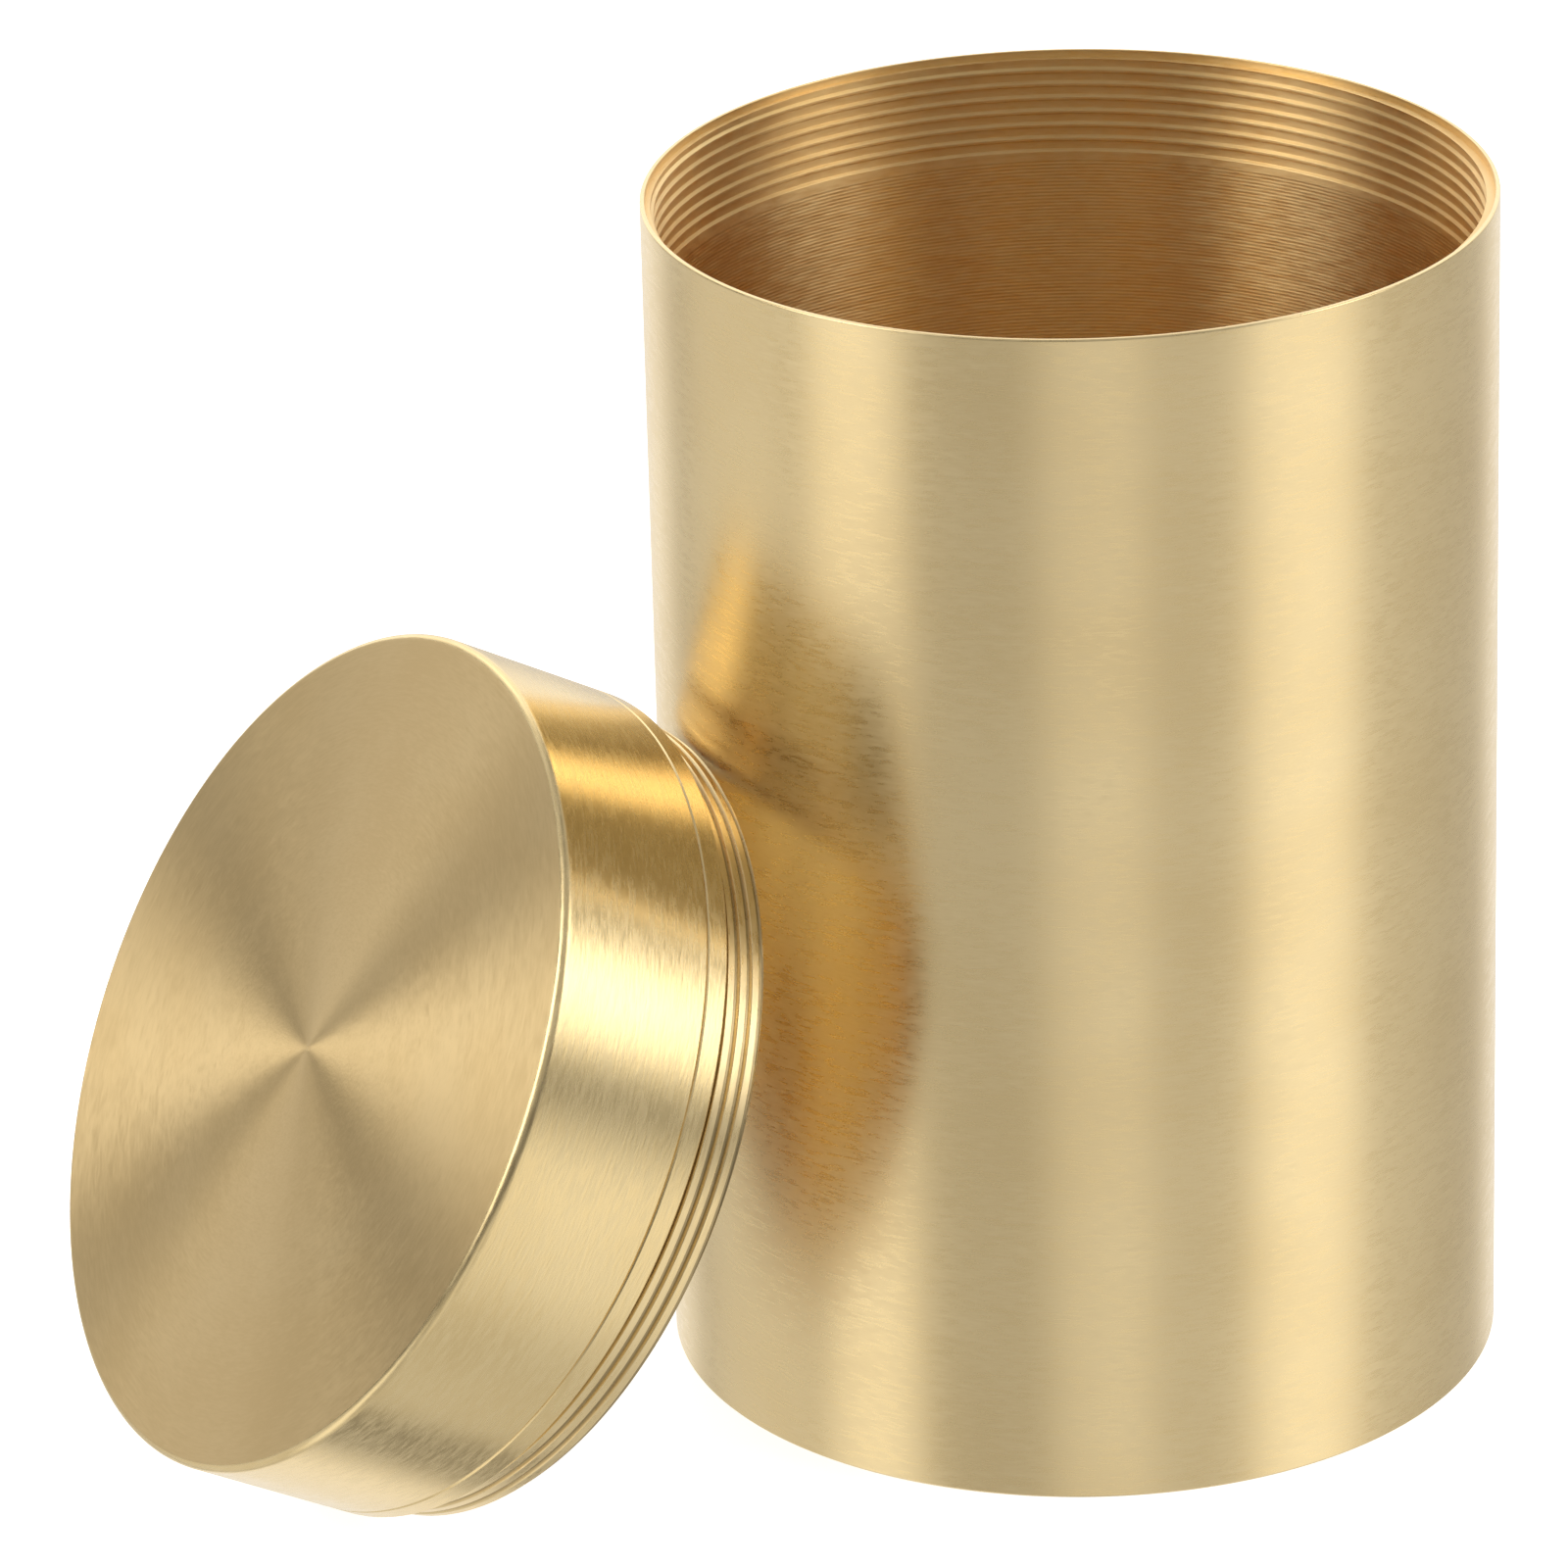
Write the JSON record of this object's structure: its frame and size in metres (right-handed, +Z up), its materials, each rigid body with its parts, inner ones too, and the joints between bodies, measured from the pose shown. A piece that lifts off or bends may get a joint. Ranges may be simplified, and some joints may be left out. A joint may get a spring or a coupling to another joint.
{
  "type": "screw-top cookie tin",
  "caption": "Tall round brushed-brass tin with a threaded mouth, shown open: its hollow screw lid is off and leans on the side of the tin.",
  "frame": {"origin": "centre of the underside of the tin, on the surface it stands on", "axes": "+Z up along the tin's axis; the lid leans on the tin's -X side, and -Y is the front"},
  "size_m": [0.1473, 0.12, 0.125],
  "materials": {
    "brushed_brass": "satin, fine brushing round the wall",
    "lid_brass": "satin, circular brushing on the face"
  },
  "bodies": {
    "tin": {"side_wall": "brushed_brass", "base_disc": "brushed_brass"},
    "lid": {"lid_cap": "lid_brass", "lid_thread_ring": "lid_brass"}
  },
  "joints": [
    {"name": "lid_lift", "type": "slide", "parent": "tin", "child": "lid", "axis": [0, 0, 1], "range_m": [0, 0.15]}
  ]
}
